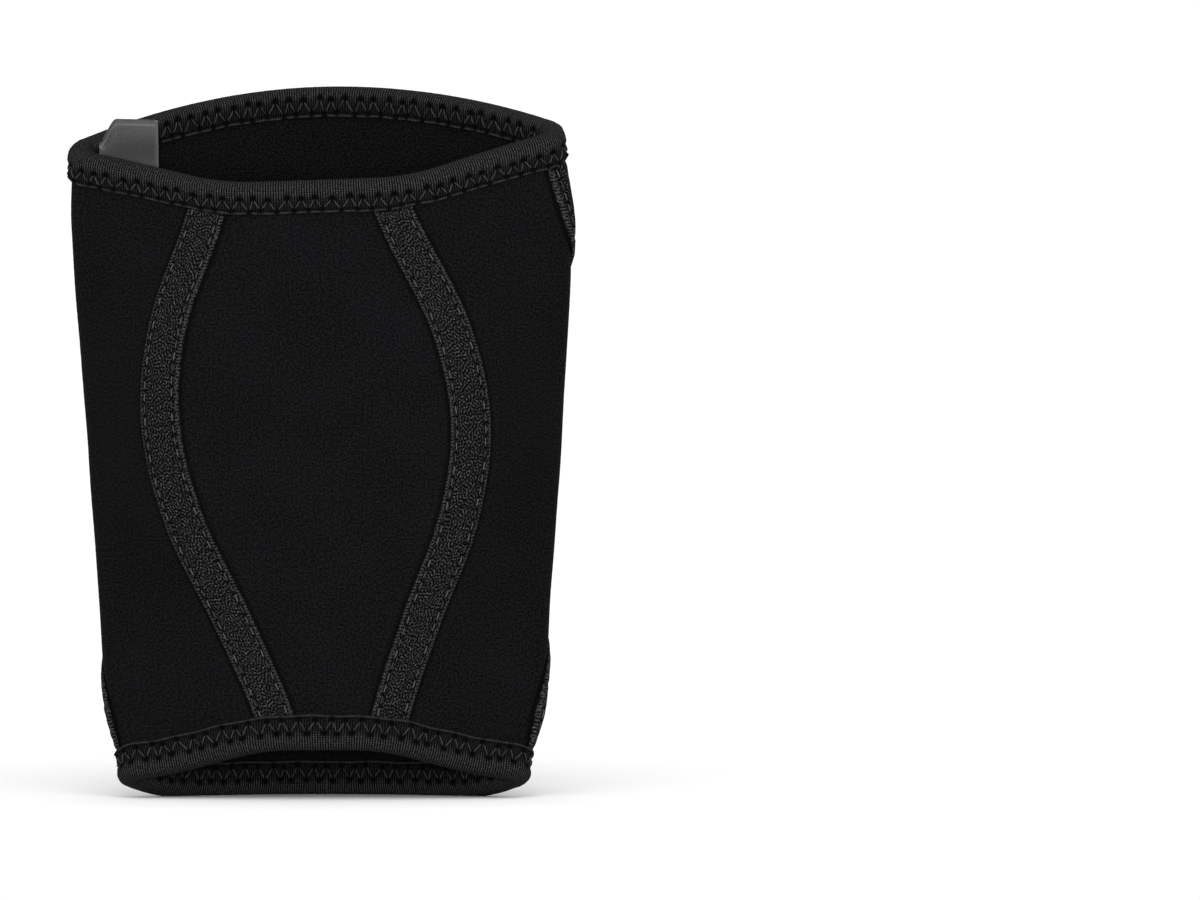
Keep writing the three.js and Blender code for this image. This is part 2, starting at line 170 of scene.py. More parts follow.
def section_lines(levels):
    """Mid-cloth points and outward directions of every level, round from the front middle."""
    z = levels[:, None]
    width = smooth(SECTIONS, "half_width", z) - OUTER
    front = smooth(SECTIONS, "front", z) - OUTER
    back = smooth(SECTIONS, "back", z) - OUTER
    right = smooth(SECTIONS, "right", z)
    kink = (smooth(SEAMS, "spread", z) + KINK_BEYOND) / (width + OUTER)

    def at_front(s):
        return right + s * width, -front * front_shape(s, kink)

    def at_back(s):
        return right + s * width, back * (1 - s * s)

    def normals(at, s, sign):
        x1, y1 = at(np.minimum(s + SLOPE_STEP, 1.0))
        x0, y0 = at(np.maximum(s - SLOPE_STEP, -1.0))
        nx, ny = sign * (y1 - y0), -sign * (x1 - x0)
        size = np.hypot(nx, ny)
        return nx / size, ny / size

    def run(at, s, sign):
        s = s[None, :]
        x, y = at(s)
        nx, ny = normals(at, s, sign)
        return x + nx * MID, y + ny * MID, nx, ny

    def fan(at, s, start, end):
        tip = np.array([[s]])
        x, y = at(tip)
        first = np.arctan2(start[3][:, -1:], start[2][:, -1:])
        last = np.arctan2(end[3][:, :1], end[2][:, :1])
        turn = (last - first) % TURN
        steps = np.arange(1, FOLD_POINTS)[None, :] / FOLD_POINTS
        angle = first + turn * steps
        return x + np.cos(angle) * MID, y + np.sin(angle) * MID, np.cos(angle), np.sin(angle)

    half = np.arange(HALF_POINTS + 1) / HALF_POINTS
    whole = 1 - np.arange(2 * HALF_POINTS + 1) / HALF_POINTS
    front_right = run(at_front, half, 1)
    behind = run(at_back, whole, -1)
    front_left = run(at_front, half - 1, 1)
    right_fold = fan(at_front, 1.0, front_right, behind)
    left_fold = fan(at_front, -1.0, behind, front_left)
    pieces = (front_right, right_fold, behind, left_fold, front_left)
    return [np.concatenate([piece[k] for piece in pieces], axis=1) for k in range(4)]


def work_out_tube():
    """Mid-cloth and outward direction of the tube, over height and part of the way round."""
    levels = np.arange(LEVEL_LOW, LEVEL_HIGH, LEVEL_STEP)
    x, y, nx, ny = section_lines(levels)
    lengths = np.cumsum(np.hypot(np.diff(x, axis=1), np.diff(y, axis=1)), axis=1)
    lengths = np.concatenate([np.zeros((len(levels), 1)), lengths], axis=1)
    totals = lengths[:, -1]
    parts = np.arange(PARTS + 1) / PARTS
    even = []
    for values in (x, y, nx, ny):
        rows = [np.interp(parts, lengths[k] / totals[k], values[k]) for k in range(len(levels))]
        even.append(np.array(rows))
    x, y, nx, ny = even
    size = np.hypot(nx, ny)
    nx, ny = nx / size, ny / size
    y = y + fold_y(levels)[:, None]
    rise = -(np.gradient(x, LEVEL_STEP, axis=0) * nx + np.gradient(y, LEVEL_STEP, axis=0) * ny)
    size = np.sqrt(1 + rise * rise)
    return levels, totals, np.stack([x, y, nx / size, ny / size, rise / size], axis=-1), nx


LEVELS, TOTALS, TUBE, FLAT_NX = work_out_tube()


def cloth(part, z, offset):
    """Points and outward directions of the cloth, moved out by an offset."""
    part, z, offset = np.broadcast_arrays(part, z, offset)
    across = (part % 1.0) * PARTS
    i = np.minimum(across.astype(int), PARTS - 1)
    u = (across - i)[..., None]
    up = np.clip((z - LEVEL_LOW) / LEVEL_STEP, 0.0, len(LEVELS) - 1 - LEVEL_MARGIN)
    j = up.astype(int)
    v = (up - j)[..., None]
    low = TUBE[j, i] * (1 - u) + TUBE[j, i + 1] * u
    high = TUBE[j + 1, i] * (1 - u) + TUBE[j + 1, i + 1] * u
    here = low * (1 - v) + high * v
    normal = unit(here[..., 2:])
    middle = np.stack([here[..., 0], here[..., 1], z], axis=-1)
    return middle + normal * offset[..., None], normal


def girth(z):
    """Length round the cloth at height z."""
    return np.interp(z, LEVELS, TOTALS)


def work_out_seams():
    """The four seams, and the first again, as parts of the way round at every level."""
    reach = int(SEAM_REACH * PARTS)
    order = np.arange(-reach, reach + 1)
    outer_x = (TUBE[:, :, 0] + FLAT_NX * FACE)[:, order % PARTS]
    climb = (LEVELS - TWIST_HEIGHTS[0]) / (TWIST_HEIGHTS[1] - TWIST_HEIGHTS[0])
    twist = TWISTS[0] + climb * (TWISTS[1] - TWISTS[0])
    spread = smooth(SEAMS, "spread", LEVELS)

    def crossing(wanted):
        return np.array([np.interp(x, row, order / PARTS) for x, row in zip(wanted, outer_x)])

    left = crossing(twist - spread)
    right = crossing(twist + spread)
    return {
        "front_left": left,
        "front_right": right,
        "back_right": right + smooth(SIDE_BANDS, "right", LEVELS) / TOTALS,
        "back_left": left - smooth(SIDE_BANDS, "left", LEVELS) / TOTALS + 1.0,
        "front_left_again": left + 1.0,
    }


SEAM_PARTS = work_out_seams()


def seam(name, z):
    """Part of the way round where a seam stands at height z."""
    return np.interp(z, LEVELS, SEAM_PARTS[name])


def work_out_rims():
    """Heights of the two rims all the way round."""
    parts = np.arange(PARTS + 1) / PARTS
    top = np.full(PARTS + 1, TOP_CORNER_Z)
    bottom = np.zeros(PARTS + 1)
    for _ in range(RIM_PASSES):
        at, _direction = cloth(parts, top, 0.0)
        behind = at[:, 1] - fold_y(top)
        slope = np.where(behind < 0, TOP_FRONT_SLOPE, TOP_BACK_SLOPE)
        beyond = at[:, 0] - TOP_LIFT_X
        lift = TOP_RIGHT_LIFT * (beyond + np.hypot(beyond, TOP_LIFT_ROUND)) / 2
        top = TOP_CORNER_Z + behind * slope + at[:, 0] * TOP_RIGHT_SLOPE + lift
        at, _direction = cloth(parts, bottom, 0.0)
        behind = at[:, 1] - fold_y(bottom)
        ahead = BOTTOM_TURN_Y - behind
        out = (np.abs(at[:, 0]) - CORNER_LIFT_X[0]) / (CORNER_LIFT_X[1] - CORNER_LIFT_X[0])
        back = ramp(behind, *CORNER_TURN_Y)
        share = CORNER_FRONT_SHARE * (1 - back) + back
        corner = CORNER_LIFT * share * np.maximum(out, 0.0) ** 2
        bottom = BOTTOM_SLOPE * (ahead + np.hypot(ahead, BOTTOM_ROUND)) / 2 - BOTTOM_PRESS + corner
    return parts, top, bottom


RIM_PARTS, TOP_RIM, BOTTOM_RIM = work_out_rims()


class End:
    """One end of the sleeve: its rim, and which way the cloth runs in from it."""

    def __init__(self, rim, inward):
        self.heights = rim
        self.inward = inward

    def rim(self, part):
        return np.interp(part % 1.0, RIM_PARTS, self.heights)

    def height_in(self, line, depth):
        """Height on a line up the sleeve at a depth in from this rim."""
        z = self.rim(line(np.full_like(depth, self.heights.mean())))
        for _ in range(RIM_PASSES):
            z = self.rim(line(z)) + self.inward * depth
        return z


TOP = End(TOP_RIM, -1.0)
BOTTOM = End(BOTTOM_RIM, 1.0)

# Waves that keep the sewn cloth from looking ruled: height, range of lengths, slant and seed of each kind.
WAVE_SEED = 41
WAVE_COUNT = 6
WAVES = {
    "dents_round": {"height": 0.15, "lengths": (24.0, 70.0), "slant": 0.4, "seed": 1},
    "dents_up": {"height": 0.15, "lengths": (24.0, 70.0), "slant": -0.3, "seed": 2},
    "wobble": {"height": 0.03, "lengths": (9.0, 28.0), "slant": 0.0, "seed": 2},
    "wrinkles": {"height": 0.08, "lengths": (1.7, 6.0), "slant": 0.2, "seed": 0},
    "fold_wrinkles": {"height": 0.28, "lengths": (2.6, 6.5), "slant": -0.3, "seed": 1},
    "tape_wave": {"height": 0.06, "lengths": (2.0, 7.0), "slant": 2.0, "seed": 0},
    "stitch_sway": {"height": 0.02, "lengths": (2.0, 8.0), "slant": 0.0, "seed": 3},
}


def waves(kind, along, across, seed=0, ring=None):
    """Smooth uneven wave along a cloth, in whole turns where it closes into a ring."""
    row = WAVES[kind]
    dice = np.random.default_rng(WAVE_SEED + row["seed"] + seed)
    lengths = dice.uniform(*row["lengths"], WAVE_COUNT)
    shifts = dice.uniform(0.0, TURN, WAVE_COUNT)
    if ring:
        lengths = ring / np.round(ring / lengths)
    turns = TURN * (along + row["slant"] * across)
    total = sum(np.sin(turns / length + shift) for length, shift in zip(lengths, shifts))
    return row["height"] * total / WAVE_COUNT


def bump(distance, reach):
    """1 at distance 0, falling smoothly to nothing a little beyond the reach."""
    return np.exp(-((distance / reach) ** 2))


# Mesh making.
WELD = 1e-7
PATTERN = "pattern"


def grid_mesh(columns, rows):
    """Flat grid of unit size round the origin."""
    bm = bmesh.new()
    bmesh.ops.create_grid(bm, x_segments=columns, y_segments=rows, size=HALF)
    return bm


def parts_of(verts):
    """Part across and part up of each vertex of such a grid."""
    flat = np.array([v.co[:] for v in verts]) + HALF
    return flat[:, 0], flat[:, 1]


def settle(bm, points, lengths, marks):
    """Moves each vertex to its point, and keeps the cloth's pattern lengths and marks there."""
    bm.verts.index_update()
    layer = bm.loops.layers.uv.new(PATTERN)
    for vert, point in zip(bm.verts, points * MM):
        vert.co = point
    pattern = [Vector(pair) for pair in lengths * MM]
    for face in bm.faces:
        face.smooth = True
        for loop in face.loops:
            loop[layer].uv = pattern[loop.vert.index]
    for name, values in marks.items():
        mark = bm.verts.layers.float.new(name)
        for vert, value in zip(bm.verts, values):
            vert[mark] = value


def linked(name, data):
    """New object in the scene, at the origin."""
    thing = bpy.data.objects.new(name, data)
    bpy.context.scene.collection.objects.link(thing)
    return thing


def finished(bm, name, cloth_material, slot, *nodes):
    """Welds the mesh, turns its faces out, and makes the piece on the sleeve's body."""
    bmesh.ops.remove_doubles(bm, verts=bm.verts[:], dist=WELD)
    bmesh.ops.dissolve_degenerate(bm, edges=bm.edges[:], dist=WELD)
    bmesh.ops.recalc_face_normals(bm, faces=bm.faces[:])
    if bm.calc_volume(signed=True) < 0:
        bmesh.ops.reverse_faces(bm, faces=bm.faces[:])
    mesh = bpy.data.meshes.new(name)
    bm.to_mesh(mesh)
    bm.free()
    mesh.materials.append(cloth_material)
    piece = linked(name, mesh)
    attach(piece, "root")
    if nodes:
        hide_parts(*nodes)
    return piece


def walled(columns, rows):
    """Grid pulled into two layers, closed round their edge, and which vertices are outer ones."""
    bm = grid_mesh(columns, rows)
    pulled = bmesh.ops.extrude_face_region(bm, geom=bm.faces[:])
    outer = {g for g in pulled["geom"] if isinstance(g, bmesh.types.BMVert)}
    across, up = parts_of(bm.verts)
    return bm, across, up, np.array([v in outer for v in bm.verts])


# Node trees of the shared effects and of the cloth materials.
VALUE = "NodeSocketFloat"
VECTOR = "NodeSocketVector"
MIX_INPUTS = ("Factor_Float", "A_Color", "B_Color")
MIX_OUTPUT = "Result_Color"


class Nodes:
    """A node tree in the making."""

    def __init__(self, tree):
        self.tree = tree

    def feed(self, socket, source):
        """Sets a socket to a plain value, or links another socket to it."""
        if isinstance(source, bpy.types.NodeSocket):
            self.tree.links.new(source, socket)
        else:
            socket.default_value = source

    def add(self, kind, inputs=None, **settings):
        """New node with its settings, and its inputs fed by name or number."""
        node = self.tree.nodes.new(kind)
        for key, value in settings.items():
            setattr(node, key, value)
        for key, source in (inputs or {}).items():
            self.feed(node.inputs[key], source)
        return node

    def math(self, operation, *sources):
        inputs = dict(enumerate(sources))
        return self.add("ShaderNodeMath", inputs, operation=operation).outputs["Value"]

    def times(self, first, second):
        return self.math("MULTIPLY", first, second)

    def spread(self, source, low, high):
        """Maps a value from the range low to high onto 0 to 1, held inside it."""
        inputs = {"Value": source, "From Min": low, "From Max": high}
        return self.add("ShaderNodeMapRange", inputs).outputs["Result"]

    def between(self, source, low, high):
        """Maps a value from 0 to 1 onto the range low to high."""
        inputs = {"Value": source, "To Min": low, "To Max": high}
        return self.add("ShaderNodeMapRange", inputs).outputs["Result"]

    def sine(self, turns):
        """Wave from 0 to 1 over a number of turns."""
        return self.math("MULTIPLY_ADD", self.math("SINE", self.times(turns, TURN)), HALF, HALF)

    def tint(self, share, first, second):
        """Mixes two colours by a share from 0 to 1."""
        node = self.add("ShaderNodeMix", data_type="RGBA")
        inputs = {socket.identifier: socket for socket in node.inputs}
        for identifier, source in zip(MIX_INPUTS, (share, first, second)):
            self.feed(inputs[identifier], source)
        return next(socket for socket in node.outputs if socket.identifier == MIX_OUTPUT)


class Effect(Nodes):
    """A node group with a vector and named sizes coming in, and named values going out."""

    def __init__(self, name, sizes, results):
        super().__init__(bpy.data.node_groups.new(name, "ShaderNodeTree"))
        self.tree.interface.new_socket(name="Vector", in_out="INPUT", socket_type=VECTOR)
        for label in sizes:
            self.tree.interface.new_socket(name=label, in_out="INPUT", socket_type=VALUE)
        for label in results:
            self.tree.interface.new_socket(name=label, in_out="OUTPUT", socket_type=VALUE)
        self.given = self.add("NodeGroupInput").outputs
        self.results = self.add("NodeGroupOutput").inputs

    def give(self, label, source):
        self.feed(self.results[label], source)


# Effects that the cloths share.
NOISES = (
    {"result": "Grain", "size": "Grain Size", "detail": 1.5, "roughness": 0.6, "range": (0.28, 0.72)},
    {"result": "Cloud", "size": "Cloud Size", "detail": 2.0, "roughness": 0.5, "range": (0.3, 0.7)},
)
WEAVES = (
    {"result": "Ribs", "pitch": "Rib Pitch", "axis": "X", "stray": "Red"},
    {"result": "Threads", "pitch": "Thread Pitch", "axis": "Y", "stray": "Green"},
)
YARN_FREQUENCY = 2.0
YARN_ANISOTROPY = 0.0
YARN_DRAW = (1.0, 0.62, 1.0)
PLIES = 2.0


def grain_effect():
    """Fine fleece grain of brushed or knitted cloth, and the wide soft clouds in it."""
    made = Effect("fleece grain", ("Grain Size", "Cloud Size"), ("Grain", "Cloud"))
    for row in NOISES:
        scale = made.math("DIVIDE", 1.0, made.given[row["size"]])
        inputs = {"Vector": made.given["Vector"], "Scale": scale}
        inputs.update({"Detail": row["detail"], "Roughness": row["roughness"]})
        noise = made.add("ShaderNodeTexNoise", inputs).outputs["Fac"]
        made.give(row["result"], made.spread(noise, *row["range"]))
    return made.tree


def rib_effect():
    """Ribs along one direction of a cloth and threads across them, both wandering a little."""
    sizes = ("Rib Pitch", "Thread Pitch", "Wander", "Wander Size")
    made = Effect("rib weave", sizes, ("Ribs", "Threads"))
    vector = made.given["Vector"]
    scale = made.math("DIVIDE", 1.0, made.given["Wander Size"])
    noise = made.add("ShaderNodeTexNoise", {"Vector": vector, "Scale": scale}).outputs["Color"]
    stray = made.add("ShaderNodeSeparateColor", {"Color": noise}).outputs
    axes = made.add("ShaderNodeSeparateXYZ", {"Vector": vector}).outputs
    for row in WEAVES:
        drift = made.times(made.math("SUBTRACT", stray[row["stray"]], HALF), made.given["Wander"])
        along = made.math("ADD", axes[row["axis"]], drift)
        made.give(row["result"], made.sine(made.math("DIVIDE", along, made.given[row["pitch"]])))
    return made.tree


def yarn_effect():
    """Short bright yarns that curl about on a dark ground, as on a brushed knitted tape."""
    made = Effect("curled yarns", ("Pitch",), ("Yarns",))
    scale = made.math("DIVIDE", 1.0 / YARN_FREQUENCY, made.given["Pitch"])
    inputs = {"Vector": made.given["Vector"], "Scale": scale}
    inputs.update({"Frequency": YARN_FREQUENCY, "Anisotropy": YARN_ANISOTROPY})
    made.give("Yarns", made.add("ShaderNodeTexGabor", inputs, gabor_type="2D").outputs["Value"])
    return made.tree


def twist_effect():
    """Twisted plies of a sewing thread: the pattern runs round it first, and along it second."""
    made = Effect("thread twist", ("Ply Length",), ("Plies",))
    axes = made.add("ShaderNodeSeparateXYZ", {"Vector": made.given["Vector"]}).outputs
    around = made.times(axes["X"], PLIES / MM)
    along = made.math("DIVIDE", axes["Y"], made.given["Ply Length"])
    made.give("Plies", made.sine(made.math("ADD", around, along)))
    return made.tree


FLEECE_GRAIN = grain_effect()
RIB_WEAVE = rib_effect()
CURLED_YARNS = yarn_effect()
THREAD_TWIST = twist_effect()


def grey(level, blue=0.0):
    """Opaque near-black or grey, a little bluish where asked."""
    return (level, level, level * (1.0 + blue), 1.0)


# Looks: sizes in millimetres, ranges of brightness and roughness, strength and depth of the bump.
LOOKS = {
    "neoprene_jersey": {
        "grain": {"Grain Size": 0.56, "Cloud Size": 24.0},
        "cloud_share": 0.08, "spread": (0.26, 0.78), "greys": (grey(0.0, 0.2), grey(0.0044, 0.2)),
        "roughness": (0.8, 0.97), "specular": 0.04, "bump": (0.5, 0.12),
    },
    "knitted_tape": {
        "grain": {"Grain Size": 0.9, "Cloud Size": 5.0},
        "weave": {"Rib Pitch": 1.0, "Thread Pitch": 0.95, "Wander": 0.5, "Wander Size": 2.2},
        "yarns": {"Pitch": 0.62},
        "spread": (0.46, 0.78), "flecks": (0.15, 1.0), "ladder": (0.35, 0.75), "knots": (0.15, 0.9),
        "greys": (grey(0.0006), grey(0.057)), "grain_height": 0.3,
        "roughness": (0.95, 0.7), "specular": 0.02, "bump": (0.8, 0.25),
    },
    "ribbed_binding": {
        "grain": {"Grain Size": 0.7, "Cloud Size": 7.0},
        "weave": {"Rib Pitch": 0.72, "Thread Pitch": 0.66, "Wander": 0.4, "Wander Size": 2.6},
        # roll: painted highlight on the roll and painted shade beyond it; welt: painted highlight on the
        # welt.
        "threads": (0.5, 1.0), "spread": (0.2, 0.74), "flecks": (0.2, 1.0), "roll": (0.3, 1.0),
        "welt": (0.4, 1.0), "greys": (grey(0.0004), grey(0.04)),
        "roughness": (0.9, 0.66), "specular": 0.03, "bump": (0.6, 0.2),
    },
    "sewing_thread": {
        "grain": {"Grain Size": 0.6, "Cloud Size": 9.0},
        "twist": {"Ply Length": 1.1},
        "plies": (0.4, 1.0), "flecks": (0.2, 1.0), "greys": (grey(0.003), grey(0.038)),
        "roughness": (0.7, 0.5), "specular": 0.15, "bump": (0.7, 0.08),
    },
    "label_satin": {
        "grain": {"Grain Size": 0.5, "Cloud Size": 6.0},
        "weave": {"Rib Pitch": 0.62, "Thread Pitch": 0.5, "Wander": 0.1, "Wander Size": 3.0},
        "threads": (0.65, 1.0), "ribs": (0.75, 1.0), "flecks": (0.5, 1.0),
        "greys": (grey(0.008, 0.04), grey(0.042, 0.04)),
        "roughness": (0.6, 0.42), "specular": 0.14, "bump": (0.45, 0.08),
    },
}
# Black of the painted shade in holes and grooves, beside the tapes and where threads dive in.
PAINTED_SHADE_BLACK = grey(0.0004)
PALE_THREAD = grey(0.085)
# Pale grey of the painted highlight on the label's fold and of its woven selvedge line.
FOLD_HIGHLIGHT_AND_SELVEDGE_GREY = grey(0.11, 0.02)


class Fabric(Nodes):
    """A cloth material: its look, its shader, and the pattern lengths of the piece."""

    def __init__(self, name):
        self.look = LOOKS[name]
        self.material = bpy.data.materials.new(name)
        self.material.use_nodes = True
        super().__init__(self.material.node_tree)
        self.tree.nodes.clear()
        self.shader = self.add("ShaderNodeBsdfPrincipled", {"Specular IOR Level": self.look["specular"]})
        self.add("ShaderNodeOutputMaterial", {"Surface": self.shader.outputs["BSDF"]})
        self.vector = self.add("ShaderNodeUVMap", uv_map=PATTERN).outputs["UV"]
        noises = self.placed(FLEECE_GRAIN, "grain", self.vector)
        self.grain, self.cloud = noises["Grain"], noises["Cloud"]

    def placed(self, group, key, vector):
        """Shared effect with the sizes that the look gives it."""
        inputs = {label: size * MM for label, size in self.look[key].items()}
        inputs["Vector"] = vector
        return self.add("ShaderNodeGroup", inputs, node_tree=group).outputs

    def weave(self):
        return self.placed(RIB_WEAVE, "weave", self.vector)

    def mark(self, name):
        return self.add("ShaderNodeAttribute", attribute_name=name).outputs["Fac"]

    def stretched(self, source, key="spread"):
        """Value stretched from the look's range of that name onto 0 to 1."""
        return self.spread(source, *self.look[key])

    def ranged(self, source, key):
        """Value held in the look's range of that name."""
        return self.between(source, *self.look[key])

    def shade(self, share):
        return self.tint(share, *self.look["greys"])

    def marked(self, name, colour, there):
        """Colour that turns into another where the piece is marked."""
        return self.tint(self.mark(name), colour, there)

    def finish(self, colour, rough, height):
        strength, distance = self.look["bump"]
        bump_inputs = {"Strength": strength, "Distance": distance * MM, "Height": height}
        normal = self.add("ShaderNodeBump", bump_inputs).outputs["Normal"]
        inputs = {"Base Color": colour, "Roughness": self.ranged(rough, "roughness"), "Normal": normal}
        for label, source in inputs.items():
            self.feed(self.shader.inputs[label], source)
        return self.material


def neoprene_jersey():
    """Smooth black jersey that faces the foam: a fine low grain with wide faint clouds, and painted shade
    beside the tapes.
    """
    made = Fabric("neoprene_jersey")
    clouds = made.look["cloud_share"]
    share = made.math("MULTIPLY_ADD", made.cloud, clouds, made.times(made.grain, 1 - clouds))
    # Painted shade beside the tape edges: the jersey turns black where the panel is marked.
    colour = made.marked("tape_press_and_shade", made.shade(made.stretched(share)), PAINTED_SHADE_BLACK)
    return made.finish(colour, made.grain, made.grain)


def knitted_tape():
    """Dark knitted tape with short bright yarns curled over it, knots along its edges, and painted shade in
    its stitch holes and grooves.
    """
    made = Fabric("knitted_tape")
    drawn = made.add("ShaderNodeVectorMath", {0: made.vector, 1: YARN_DRAW}, operation="MULTIPLY")
    yarns = made.placed(CURLED_YARNS, "yarns", drawn.outputs["Vector"])["Yarns"]
    bright = made.times(made.stretched(yarns), made.ranged(made.grain, "flecks"))
    ladder = made.stretched(made.weave()["Threads"], "ladder")
    knots = made.times(made.mark("knot"), made.times(ladder, made.ranged(made.grain, "knots")))
    bright = made.math("MAXIMUM", bright, knots)
    height = made.math("MULTIPLY_ADD", made.grain, made.look["grain_height"], yarns)
    # The tape turns black where marked: painted shade in its stitch holes and grooves.
    return made.finish(made.marked("hole", made.shade(bright), PAINTED_SHADE_BLACK), bright, height)


def ribbed_binding():
    """Black stretch tape with fine ribs across its length, with a painted highlight where it rolls over the
    rim and painted shade over the sewn band.
    """
    made = Fabric("ribbed_binding")
    weave = made.weave()
    height = made.times(weave["Ribs"], made.ranged(weave["Threads"], "threads"))
    bright = made.times(made.stretched(height), made.ranged(made.grain, "flecks"))
    # Painted highlight on the roll over the rim, painted shade over the sewn band below it.
    roll_highlight_and_shade = made.times(bright, made.ranged(made.mark("roll"), "roll"))
    # Painted highlight along the raised welt.
    welt = made.times(made.mark("welt"), made.ranged(made.grain, "welt"))
    colour = made.shade(made.math("MAXIMUM", roll_highlight_and_shade, welt))
    return made.finish(made.marked("hole", colour, PAINTED_SHADE_BLACK), bright, height)


def sewing_thread():
    """Dark grey twisted thread, with painted shade where it dives into its holes."""
    made = Fabric("sewing_thread")
    plies = made.placed(THREAD_TWIST, "twist", made.vector)["Plies"]
    share = made.times(made.ranged(plies, "plies"), made.ranged(made.cloud, "flecks"))
    colour = made.marked("pale", made.shade(share), PALE_THREAD)
    return made.finish(made.marked("deep", colour, PAINTED_SHADE_BLACK), plies, plies)


def label_satin():
    """Charcoal satin with a fine weave, a painted highlight along its fold, and a paler woven edge."""
    made = Fabric("label_satin")
    weave = made.weave()
    height = made.times(made.ranged(weave["Threads"], "threads"), made.ranged(weave["Ribs"], "ribs"))
    share = made.times(height, made.ranged(made.grain, "flecks"))
    return made.finish(made.marked("edge", made.shade(share), FOLD_HIGHLIGHT_AND_SELVEDGE_GREY), height, height)


NEOPRENE_JERSEY = neoprene_jersey()
KNITTED_TAPE = knitted_tape()
RIBBED_BINDING = ribbed_binding()
SEWING_THREAD = sewing_thread()
LABEL_SATIN = label_satin()

# Panels: each between two seams, from inside one binding to inside the other.
ROLL = 1.6
TAPE_WIDTH = 10.2
PANEL_ROWS = 170
PANELS = (
    {"name": "front_panel", "from": "front_left", "to": "front_right", "columns": 90},
    {"name": "side_panel_right", "from": "front_right", "to": "back_right", "columns": 100},
    {"name": "back_panel", "from": "back_right", "to": "back_left", "columns": 100},
    {"name": "side_panel_left", "from": "back_left", "to": "front_left_again", "columns": 100},
)
CROWD = 0.7
DENT_EDGE = (8.0, 24.0)
TAPE_PRESS = 0.5
TAPE_PRESS_OUT = 0.32
TAPE_PRESS_REACH = 0.52


def wrapped(turns):
    """The part of a turn that is left over, from minus to plus a half."""
    return (turns + HALF) % 1.0 - HALF


def seam_stretch(name, z):
    """Length along a slanting seam for each millimetre of height."""
    slant = np.gradient(wrapped(SEAM_PARTS[name]) * TOTALS, LEVEL_STEP)
    return np.interp(z, LEVELS, np.hypot(1.0, slant))


def panel(row):
    """Foam panel between two seams, with its jersey faces, pressed in beside the tapes and marked there for
    painted shade.
    """
    name, start, end, columns = (row[key] for key in ("name", "from", "to", "columns"))
    bm, share, up, outer = walled(columns, PANEL_ROWS)
    across = share - CROWD * np.sin(TURN * share) / TURN

    def line(z):
        margin = GAP / 2 / girth(z)
        return (seam(start, z) + margin) * (1 - across) + (seam(end, z) - margin) * across

    depth = np.full_like(across, ROLL + GAP)
    low = BOTTOM.height_in(line, depth)
    high = TOP.height_in(line, depth)
    z = low + (high - low) * up
    part = line(z)
    around = part * girth(z)
    inside = ramp(z - low, *DENT_EDGE) * ramp(high - z, *DENT_EDGE)
    # Groove beside each tape edge: pressed into the foam, and painted shade there too.
    tape_press_and_shade = np.zeros_like(z)
    for side in (start, end):
        away = np.abs(part - seam(side, z)) * girth(z) / seam_stretch(side, z)
        tape_press_and_shade = tape_press_and_shade + outer * bump(away - TAPE_WIDTH / 2 - TAPE_PRESS_OUT, TAPE_PRESS_REACH)
    dents = waves("dents_round", around, z) + waves("dents_up", z, around)
    lift = dents * inside - TAPE_PRESS * tape_press_and_shade
    points, _direction = cloth(part, z, np.where(outer, FACE, -FACE) + lift)
    settle(bm, points, np.stack([around, z], axis=1), {"tape_press_and_shade": tape_press_and_shade})
    middle, _direction = cloth(part[outer], z[outer], 0.0)
    piece = finished(bm, name + "_cloth", NEOPRENE_JERSEY, "neoprene", name)


for one in PANELS:
    panel(one)

# Bindings: depths of the near needle row, the far one and the leg's end, outside and inside.
BINDINGS = (
    {
        "name": "top_binding", "end": TOP, "seed": 10,
        "outside": (4.35, 7.5, 8.4), "inside": (1.9, 5.9, 6.9),
    },
    {
        "name": "bottom_binding", "end": BOTTOM, "seed": 20,
        "outside": (4.3, 8.0, 9.4), "inside": (3.5, 7.3, 8.7),
    },
)
ZIGZAG_PITCH = 4.3
SAME_DEPTH = 1.6
BINDING_IN = FACE + BINDING_GAP
BINDING_OUT = BINDING_IN + BINDING
LEG_TURN = 0.4
LEG_MIDDLE = 0.7
ROLL_POWER = 2.5
RIM_COLUMNS = 840
LEG_POINTS = 24
ROLL_POINTS = 18
LINING_POINTS = 8
SIDE_SHARPNESS = 1.6
FOLD_PARTS = (0.25, 0.75)
BACK_MIDDLE = 0.5

# Relief of the sewn binding: needle holes, pressed zigzag band, roll, welt, wrinkles, and rise over tapes.
HOLES = (0.6, 0.5)
HOLE_REACHES = (0.88, 0.72)
# Painted shade in the needle holes.
HOLE_SHADE_MARKS = (2.2, 2.0)
STRAY_TURNS = (2.3, 5.1, 3.7)
STRAY_ALONG = (0.42, 0.3)
STRAY_DEPTH = 0.24
PRESS = 0.18
PRESS_EDGES = (0.5, 0.3, 0.3, 0.4)
SCALLOP = 0.24
SCALLOP_BACK = 1.1
SCALLOP_REACH = 1.0
WELT = 0.3
WELT_BACK = 0.4
WELT_REACH = 0.2
# Painted highlight along the raised welt.
WELT_HIGHLIGHT_MARK = 0.65
GROOVE = 0.12
GROOVE_BACK = 1.0
GROOVE_REACH = 0.26
# Painted shade along the groove.
GROOVE_SHADE_MARK = 0.9
FOLD_WRINKLE_REACH = 9.0
TAPE_RISES = (0.75, 0.75, 0.4, 0.4)
TAPE_RISE_REACH = 5.4
TAPE_RISE_START = 0.45
TAPE_RISE_END = 1.0
# Where the painted highlight of the roll gives way to painted shade.
ROLL_HIGHLIGHT_EDGE = 1.3


